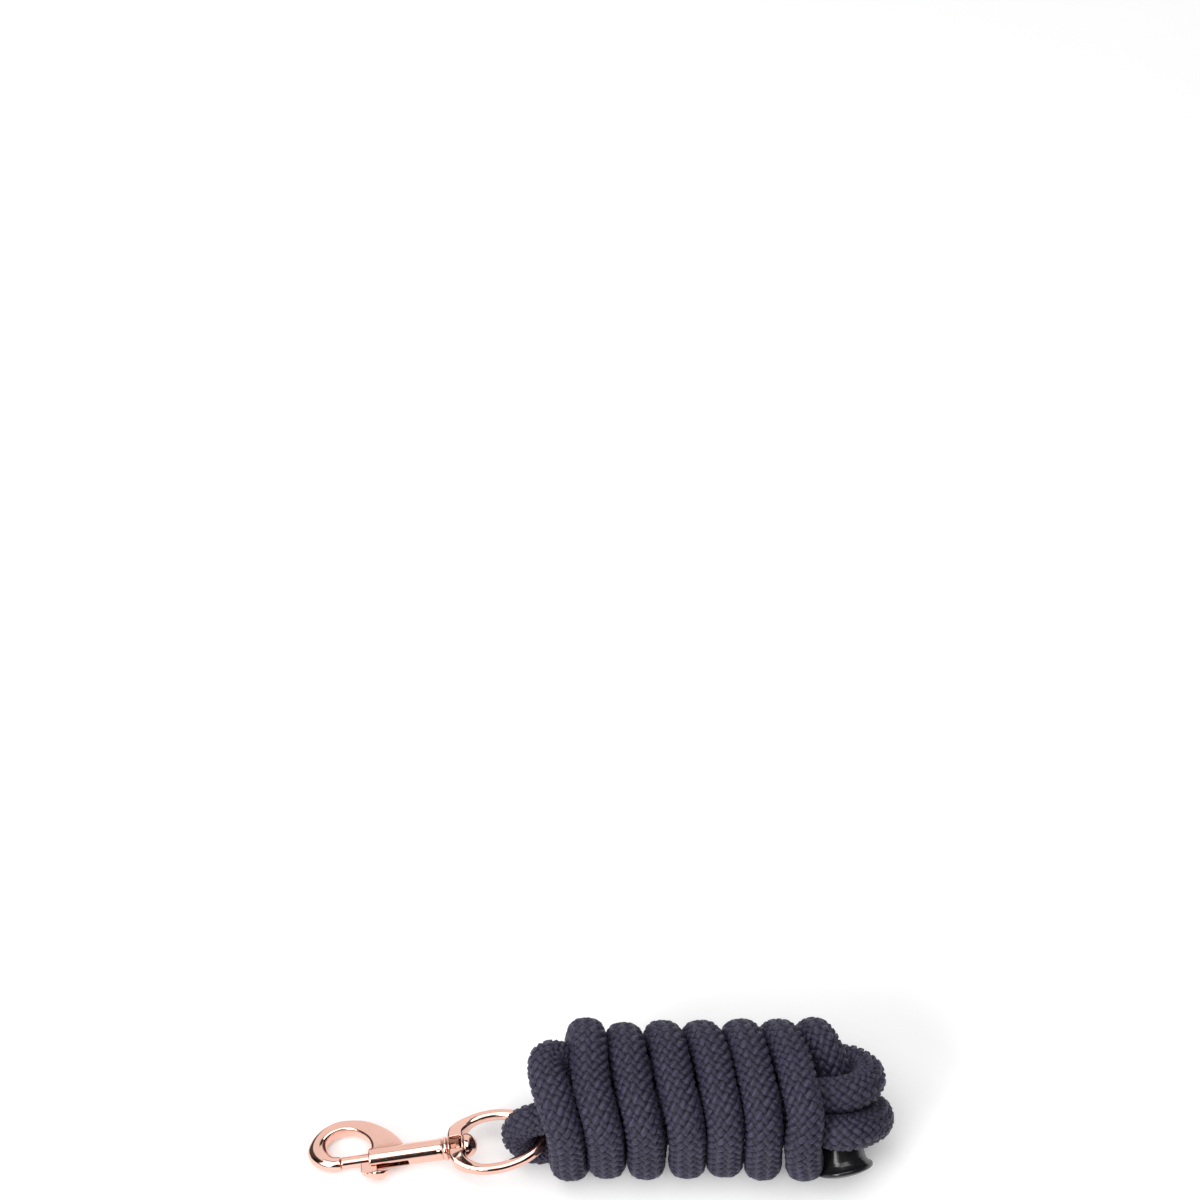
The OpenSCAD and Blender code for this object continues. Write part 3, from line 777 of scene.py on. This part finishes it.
# ---------------------------------------------------------------------------
# Finishes
# ---------------------------------------------------------------------------
def plated_paint():
    """Rose coloured plating over a casting: polished, with a fine satin grain and faint unevenness."""
    p = Paint("rose_plating")
    at = p.coords()
    cast = p.noise(at, 210, 3.0, 0.5)
    grain = p.noise(at, 3800, 2.0, 0.6)
    broad = p.noise(at, 38, 2.0, 0.5)
    colour = p.ramp(broad, [(0.32, (0.80, 0.475, 0.385)), (0.68, (0.87, 0.545, 0.455))])
    # darker in the hollows, with painted shade in the barrel's slot and bore and on the bolt inside it, and a painted
    # dark reflection on the eye's collar
    hollows_and_painted_shade_fac = p.attribute("hollows_and_painted_shade")
    colour = p.mix("MULTIPLY", 1.0, colour, p.ramp(hollows_and_painted_shade_fac, [(0.0, (1, 1, 1)), (1.0, (0.38, 0.27, 0.225))]))
    rough = p.math("ADD", p.span(grain, 0.3, 0.7, 0.06, 0.11), p.span(cast, 0.35, 0.65, 0.0, 0.04))
    n = p.bump(cast, 0.10, 0.0004)
    n = p.bump(grain, 0.08, 0.00003, n)
    p.set(Base_Color=colour, Metallic=1.0, Roughness=rough, Normal=n)
    return p.mat


def steel_paint():
    p = Paint("drawn_steel")
    at = p.coords()
    draw = p.noise(p.scaled(at, (60, 2600, 2600)), 1.0, 2.0, 0.6)
    broad = p.noise(at, 160, 3.0, 0.55)
    colour = p.ramp(broad, [(0.3, (0.36, 0.355, 0.35)), (0.7, (0.58, 0.58, 0.585))])
    rough = p.span(draw, 0.3, 0.7, 0.24, 0.42)
    p.set(Base_Color=colour, Metallic=1.0, Roughness=rough, Normal=p.bump(draw, 0.2, 0.00004))
    return p.mat


def cap_paint():
    p = Paint("black_moulding")
    at = p.coords()
    flow = p.noise(at, 120, 3.0, 0.5)
    grain = p.noise(at, 2600, 2.0, 0.6)
    scuff = p.noise(p.scaled(at, (900, 220, 220)), 1.0, 4.0, 0.65)
    colour = p.ramp(flow, [(0.3, (0.010, 0.010, 0.011)), (0.7, (0.019, 0.019, 0.021))])
    rough = p.math("ADD", p.span(flow, 0.3, 0.7, 0.16, 0.24), p.span(scuff, 0.55, 0.8, 0.0, 0.14))
    n = p.bump(grain, 0.10, 0.00004)
    p.set(Base_Color=colour, Roughness=rough, Normal=n, Specular_IOR_Level=0.55)
    return p.mat


PLATE, STEEL, BLACK = plated_paint(), steel_paint(), cap_paint()


# ---------------------------------------------------------------------------
# Cast pieces of the snap: the CAD shape with the soft edges of a polished casting
# ---------------------------------------------------------------------------
def mesh_arrays(mesh):
    v = np.zeros(len(mesh.vertices) * 3)
    mesh.vertices.foreach_get("co", v)
    e = np.zeros(len(mesh.edges) * 2, np.int32)
    mesh.edges.foreach_get("vertices", e)
    return v.reshape(-1, 3), e.reshape(-1, 2)


def cast(name, node, body, voxel, rounds, slot="plated_metal", paint=None, shapes=None, turn=None, painted_shade_mask=None):
    """The shape of a node, or closed shapes given in snap coordinates, grown together and softened."""
    mesh = bpy.data.meshes.new(name)
    bm = bmesh.new()
    if shapes is None:
        bm.from_mesh(NODE[node].data)
        bmesh.ops.remove_doubles(bm, verts=bm.verts, dist=2e-6)
        v = np.array([q.co for q in bm.verts])
        for q, w in zip(bm.verts, row_to_snap(v / MM)):
            q.co = w
    else:
        for points, faces in shapes:
            vs = [bm.verts.new(q) for q in points]
            for f in faces:
                bm.faces.new([vs[k] for k in f])
        bmesh.ops.recalc_face_normals(bm, faces=bm.faces)
    bm.to_mesh(mesh)
    bm.free()
    o = put(name, mesh)
    m = o.modifiers.new("remesh", "REMESH")
    m.mode = "VOXEL"
    m.voxel_size = voxel
    m.adaptivity = 0
    done = bpy.data.meshes.new_from_object(o.evaluated_get(bpy.context.evaluated_depsgraph_get()))
    o.modifiers.clear()
    o.data = done
    done.name = name
    v, e = mesh_arrays(done)
    deg = np.bincount(e.ravel(), minlength=len(v))[:, None].astype(float)

    def lap(x):
        acc = np.zeros_like(x)
        for k in range(x.shape[1]):
            acc[:, k] = np.bincount(e[:, 0], x[e[:, 1], k], len(x)) + np.bincount(e[:, 1], x[e[:, 0], k], len(x))
        return acc / np.maximum(deg, 1) - x

    for _ in range(rounds):
        v = v + 0.55 * lap(v)
        v = v - 0.58 * lap(v)
    if turn is not None:
        v = turn(v)
    # darker colour in the hollows, plus painted shade or a painted dark reflection where a mask is given
    done.vertices.foreach_set("co", v.astype(np.float32).ravel())
    done.update()
    nrm = np.zeros(len(v) * 3, np.float32)
    done.vertices.foreach_get("normal", nrm)
    nrm = nrm.reshape(-1, 3)
    wide = v.copy()
    for _ in range(10):
        wide = wide + 0.6 * lap(wide)
    hollow = np.clip(((wide - v) * nrm).sum(1) / 0.22, 0, 1)[:, None]
    if painted_shade_mask is not None:
        hollow = np.maximum(hollow, painted_shade_mask(v)[:, None].astype(float))
    for _ in range(2):
        hollow = hollow + 0.5 * lap(hollow)
    row = snap_to_row(v) * MM
    done.vertices.foreach_set("co", row.astype(np.float32).ravel())
    done.attributes.new("hollows_and_painted_shade", "FLOAT", "POINT").data.foreach_set("value", hollow[:, 0].astype(np.float32))
    done.polygons.foreach_set("use_smooth", np.ones(len(done.polygons), bool))
    done.update()
    done.materials.clear()
    done.materials.append(paint or PLATE)
    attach(o, body)
    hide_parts(node)
    print(name, len(v), "vertices")
    return o


def groove(v):
    """A turned groove behind the flared rim of the barrel."""
    r = np.hypot(v[:, 1], v[:, 2])
    g = np.where((r > 4.2) & (v[:, 0] > 30), 0.42 * np.exp(-((v[:, 0] - 36.2) / 0.5) ** 2), 0)
    v = v.copy()
    v[:, 1:] *= (1 - g / np.maximum(r, 1e-6))[:, None]
    return v


def eye_shapes():
    """The eye's bar with its stout flat shoulders, and the collar that they grow from."""
    # middle of the section, half its width, half its height and its squareness, from the collar outwards
    shoulder = [((42.7, 3.3), 3.7, 4.9, 8), ((42.7, 5.3), 3.7, 4.9, 8), ((43.3, 7.2), 3.45, 4.7, 7), ((44.8, 9.1), 3.05, 4.2, 5.5),
                ((47.1, 10.9), 2.8, 3.5, 4), ((50.0, 12.5), 2.7, 2.95, 2.7), ((53.4, 13.7), 2.7, 2.72, 2.1)]
    bar = [(p[0], p[1]) for p in oval()]
    ends = [q for q in bar if q[0] > 56]
    rows = [((m[0], -m[1]), w, h, e) for m, w, h, e in shoulder] + [(q, 2.7, 2.7, 2) for q in ends] + [(m, w, h, e) for m, w, h, e in reversed(shoulder)]
    mid = np.array([r[0] for r in rows])
    rest = np.array([r[1:] for r in rows], float)
    q, more = even(np.column_stack([mid, np.zeros(len(mid))]), np.ones(len(mid)), 0.6)
    d = np.concatenate([[0], np.cumsum(np.linalg.norm(np.diff(mid, axis=0), axis=1))])
    e = np.concatenate([[0], np.cumsum(np.linalg.norm(np.diff(q, axis=0), axis=1))])
    w, h, p = [np.interp(e * d[-1] / e[-1], d, rest[:, k]) for k in range(3)]
    t = unit(np.gradient(q, axis=0))
    k = 44
    a = np.arange(k) * 2 * math.pi / k
    cs, sn = np.cos(a), np.sin(a)
    points, faces = [], []
    for i in range(len(q)):
        out = np.array((-t[i][1], t[i][0], 0.0))
        power = 2 / p[i]
        x = np.sign(cs) * np.abs(cs) ** power * w[i]
        z = np.sign(sn) * np.abs(sn) ** power * h[i]
        points += [tuple(q[i] + x[j] * out + np.array((0, 0, z[j]))) for j in range(k)]
    for i in range(len(q) - 1):
        faces += [(i * k + j, i * k + (j + 1) % k, (i + 1) * k + (j + 1) % k, (i + 1) * k + j) for j in range(k)]
    faces += [tuple(range(k))[::-1], tuple((len(q) - 1) * k + j for j in range(k))]
    ring = [(38.8, 2.95), (38.8, 5.3), (39.2, 5.6), (39.7, 5.5), (40.6, 5.0), (42.6, 4.75), (44.6, 5.0), (45.6, 5.5), (46.1, 5.6), (46.5, 5.3), (46.5, 2.95)]
    seg, m = 96, len(ring)
    turned = [(x, r * math.cos(2 * math.pi * i / seg), r * math.sin(2 * math.pi * i / seg)) for i in range(seg) for x, r in ring]
    sides = [(i * m + j, i * m + (j + 1) % m, ((i + 1) % seg) * m + (j + 1) % m, ((i + 1) % seg) * m + j) for i in range(seg) for j in range(m)]
    return [(points, faces), (turned, sides)]


def in_slot(v):
    """The walls of the slot and the bore behind it, painted dark as shade."""
    r = np.hypot(v[:, 1], v[:, 2])
    return (r < 4.9) & (v[:, 0] > 1.3) & (v[:, 0] < 20) & (v[:, 1] < -0.8)


def in_bore(v):
    """The part of the bolt that stays in the barrel, painted dark as shade."""
    return v[:, 0] > 1.6


def on_collar(v):
    """The hollow waist of the collar between the shoulders, painted dark as a reflection of the dark room."""
    return (np.hypot(v[:, 1], v[:, 2]) < 5.62) & (np.abs(v[:, 1]) < 4.9) & (v[:, 0] > 39.6) & (v[:, 0] < 45.8)


# the masks add painted shade in the slot and bore and on the bolt inside the barrel, and a painted dark reflection on
# the collar
hook_and_barrel = cast("hook_and_barrel", "snap_body", "snap", 0.28, 8, turn=groove, painted_shade_mask=in_slot)
eye_bar = cast("swivel_eye_bar", "swivel_eye", "eye", 0.25, 7, shapes=eye_shapes(), painted_shade_mask=on_collar)
knob = cast("thumb_knob_cast", "thumb_knob", "bolt", 0.17, 6)
plunger = cast("sliding_bolt", "bolt", "bolt", 0.2, 6, painted_shade_mask=in_bore)
pin = cast("swivel_pin_turned", "swivel_pin", "snap", 0.2, 6)


# ---------------------------------------------------------------------------
# Spring in the barrel
# ---------------------------------------------------------------------------
def spring():
    turns, r, wire, x0, x1 = 7, 2.05, 0.35, 12.4, 29.6
    m, k = turns * 28, 10
    verts, faces = [], []
    for i in range(m + 1):
        f = i / m
        # closed coils at both ends
        g = f + 0.045 * math.sin(2 * math.pi * f)
        a = 2 * math.pi * turns * f
        c = np.array((x0 + (x1 - x0) * g, r * math.cos(a), r * math.sin(a)))
        out = np.array((0, math.cos(a), math.sin(a)))
        ax = np.array((1.0, 0, 0))
        for j in range(k):
            b = 2 * math.pi * j / k
            verts.append(c + wire * (math.cos(b) * out + math.sin(b) * ax))
    for i in range(m):
        for j in range(k):
            q = (j + 1) % k
            faces.append((i * k + j, (i + 1) * k + j, (i + 1) * k + q, i * k + q))
    faces.append(tuple(range(k)))
    faces.append(tuple(m * k + j for j in reversed(range(k))))
    mesh = bpy.data.meshes.new("coil_spring")
    mesh.from_pydata([tuple(p) for p in snap_to_row(np.array(verts)) * MM], [], faces)
    bm = bmesh.new()
    bm.from_mesh(mesh)
    bmesh.ops.recalc_face_normals(bm, faces=bm.faces)
    bm.to_mesh(mesh)
    bm.free()
    mesh.polygons.foreach_set("use_smooth", np.ones(len(mesh.polygons), bool))
    mesh.materials.append(STEEL)
    o = put("coil_spring", mesh)
    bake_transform(o)
    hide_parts("bolt_spring")
    return o


spring()


# ---------------------------------------------------------------------------
# Cap on the free end
# ---------------------------------------------------------------------------
def lathe(name, profile, at, axis, seg=96):
    """A closed turned shape: profile is (radius, height) pairs, height along axis from at, millimetres."""
    axis = unit(np.asarray(axis, float))
    u = unit(np.cross(axis, (0.0, 0.0, 1.0)))
    w = np.cross(axis, u)
    verts, faces, rings = [], [], []
    for r, h in profile:
        if r < 1e-6:
            rings.append([len(verts)])
            verts.append(at + axis * h)
        else:
            rings.append(list(range(len(verts), len(verts) + seg)))
            for i in range(seg):
                a = 2 * math.pi * i / seg
                verts.append(at + axis * h + r * (math.cos(a) * u + math.sin(a) * w))
    for p, q in zip(rings[:-1], rings[1:]):
        for i in range(seg):
            k = (i + 1) % seg
            if len(p) == 1:
                faces.append((p[0], q[i], q[k]))
            elif len(q) == 1:
                faces.append((p[i], q[0], p[k]))
            else:
                faces.append((p[i], q[i], q[k], p[k]))
    mesh = bpy.data.meshes.new(name)
    mesh.from_pydata([tuple(v) for v in np.array(verts) * MM], [], faces)
    bm = bmesh.new()
    bm.from_mesh(mesh)
    bmesh.ops.recalc_face_normals(bm, faces=bm.faces)
    bm.to_mesh(mesh)
    bm.free()
    mesh.polygons.foreach_set("use_smooth", np.ones(len(mesh.polygons), bool))
    return put(name, mesh)


def rounded(points, radii, n=6):
    """A profile with its inner corners rounded to the given radii."""
    pts = [np.array(p, float) for p in points]
    out = [pts[0]]
    for i in range(1, len(pts) - 1):
        a, b, c = pts[i - 1], pts[i], pts[i + 1]
        r = radii[i]
        if r <= 0:
            out.append(b)
            continue
        u, v = unit(a - b), unit(c - b)
        half = math.acos(max(-1, min(1, float(u @ v)))) / 2
        d = min(r / math.tan(half), 0.48 * np.linalg.norm(a - b), 0.48 * np.linalg.norm(c - b))
        p0, p1 = b + u * d, b + v * d
        for k in range(n + 1):
            f = k / n
            out.append((1 - f) ** 2 * p0 + 2 * f * (1 - f) * b + f * f * p1)
    out.append(pts[-1])
    return [tuple(p) for p in out]


cap_profile = rounded(
    [(0, 1.6), (5.0, 1.45), (9.0, 0.85), (11.8, -0.05), (13.5, -1.0), (13.5, -2.5), (12.0, -3.5), (11.1, -5.0), (10.75, -6.8), (10.55, -19), (9.0, -19), (9.0, -3), (0, -3)],
    [0, 6, 6, 4, 1.0, 0.8, 1.6, 2.5, 3.0, 0.75, 0.5, 0.3, 0])
cap = lathe("flanged_cap", cap_profile, CAP_END, CAP_DIR)
cap.data.materials.append(BLACK)
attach(cap, "rope")
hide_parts("end_cap")

# The clamp round the eye's legs keeps its CAD shape
clamp = NODE["loop_clamp"]
clamp.data.materials.clear()
clamp.data.materials.append(STEEL)


# ---------------------------------------------------------------------------
# Floor, light and background
# ---------------------------------------------------------------------------
def floor():
    bm = bmesh.new()
    bmesh.ops.create_circle(bm, cap_ends=True, segments=128, radius=9.0)
    mesh = bpy.data.meshes.new("floor")
    bm.to_mesh(mesh)
    bm.free()
    o = put("floor", mesh)
    p = Paint("pale_paper")
    tone = p.noise(p.coords(), 3.0, 2.0, 0.5)
    p.set(Base_Color=p.ramp(tone, [(0.3, (0.93, 0.93, 0.93)), (0.7, (0.95, 0.95, 0.95))]), Roughness=0.8, Specular_IOR_Level=0.1, Emission_Color=(1, 1, 1, 1), Emission_Strength=0.2)
    mesh.materials.append(p.mat)


floor()


def softbox(name, at, size, power, aim=(0, 0, 0.03), colour=(1, 1, 1)):
    light = bpy.data.lights.new(name, "AREA")
    light.shape = "RECTANGLE"
    light.size, light.size_y = size
    light.energy = power
    light.color = colour
    o = bpy.data.objects.new(name, light)
    scene.collection.objects.link(o)
    o.location = at
    o.rotation_euler = (Vector(aim) - Vector(at)).to_track_quat("-Z", "Y").to_euler()
    o.visible_camera = False
    return o


softbox("overhead", (-0.2, -0.62, 2.72), (3.0, 2.1), 55)
softbox("side", (-1.6, -1.65, 1.5), (1.3, 1.3), 42)

world = bpy.data.worlds.new("studio")
world.use_nodes = True
wt = world.node_tree
wt.nodes.clear()


def world_ramp(socket, lo, hi, stops):
    span = wt.nodes.new("ShaderNodeMapRange")
    span.inputs["From Min"].default_value, span.inputs["From Max"].default_value = lo, hi
    wt.links.new(socket, span.inputs["Value"])
    n = wt.nodes.new("ShaderNodeValToRGB")
    wt.links.new(span.outputs["Result"], n.inputs["Fac"])
    e = n.color_ramp.elements
    while len(e) < len(stops):
        e.new(0.5)
    for item, (pos, v) in zip(e, stops):
        item.position = (pos - lo) / (hi - lo)
        item.color = (v, v, v, 1)
    return n.outputs["Color"]


w_out = wt.nodes.new("ShaderNodeOutputWorld")
w_geo = wt.nodes.new("ShaderNodeTexCoord")
w_sep = wt.nodes.new("ShaderNodeSeparateXYZ")
w_light = wt.nodes.new("ShaderNodeBackground")
w_back = wt.nodes.new("ShaderNodeBackground")
w_path = wt.nodes.new("ShaderNodeLightPath")
w_mix = wt.nodes.new("ShaderNodeMixShader")
w_mul = wt.nodes.new("ShaderNodeMix")
w_mul.data_type = "RGBA"
wt.links.new(w_geo.outputs["Generated"], w_sep.inputs[0])
# white paper behind with a dark gap over it; in front a low white wall and a dark room under the big light
wt.links.new(world_ramp(w_sep.outputs["Y"], -1.0, 1.0, [(-1.0, 0.0), (-0.2, 0.0), (0.14, 1.0), (1.0, 1.0)]), w_mul.inputs[0])
wt.links.new(world_ramp(w_sep.outputs["Z"], 0.0, 1.0, [(0.0, 1.1), (0.17, 1.1), (0.27, 0.02), (1.0, 0.02)]), w_mul.inputs[6])
wt.links.new(world_ramp(w_sep.outputs["Z"], 0.0, 1.0, [(0.0, 1.0), (0.885, 1.05), (0.90, 0.04), (1.0, 0.04)]), w_mul.inputs[7])
# the room is dark to both sides
w_all = wt.nodes.new("ShaderNodeMix")
w_all.data_type = "RGBA"
w_all.blend_type = "MULTIPLY"
w_all.inputs[0].default_value = 1.0
wt.links.new(w_mul.outputs[2], w_all.inputs[6])
wt.links.new(world_ramp(w_sep.outputs["X"], -1.0, 1.0, [(-1.0, 0.08), (-0.60, 0.08), (-0.46, 1.0), (0.40, 1.0), (0.56, 0.08), (1.0, 0.08)]), w_all.inputs[7])
wt.links.new(w_all.outputs[2], w_light.inputs["Color"])
w_light.inputs["Strength"].default_value = 1.0
w_back.inputs["Color"].default_value = (0.93, 0.93, 0.93, 1)
w_back.inputs["Strength"].default_value = 1.0
wt.links.new(w_path.outputs["Is Camera Ray"], w_mix.inputs["Fac"])
wt.links.new(w_light.outputs[0], w_mix.inputs[1])
wt.links.new(w_back.outputs[0], w_mix.inputs[2])
wt.links.new(w_mix.outputs[0], w_out.inputs["Surface"])
scene.world = world
scene.view_settings.view_transform = "Standard"
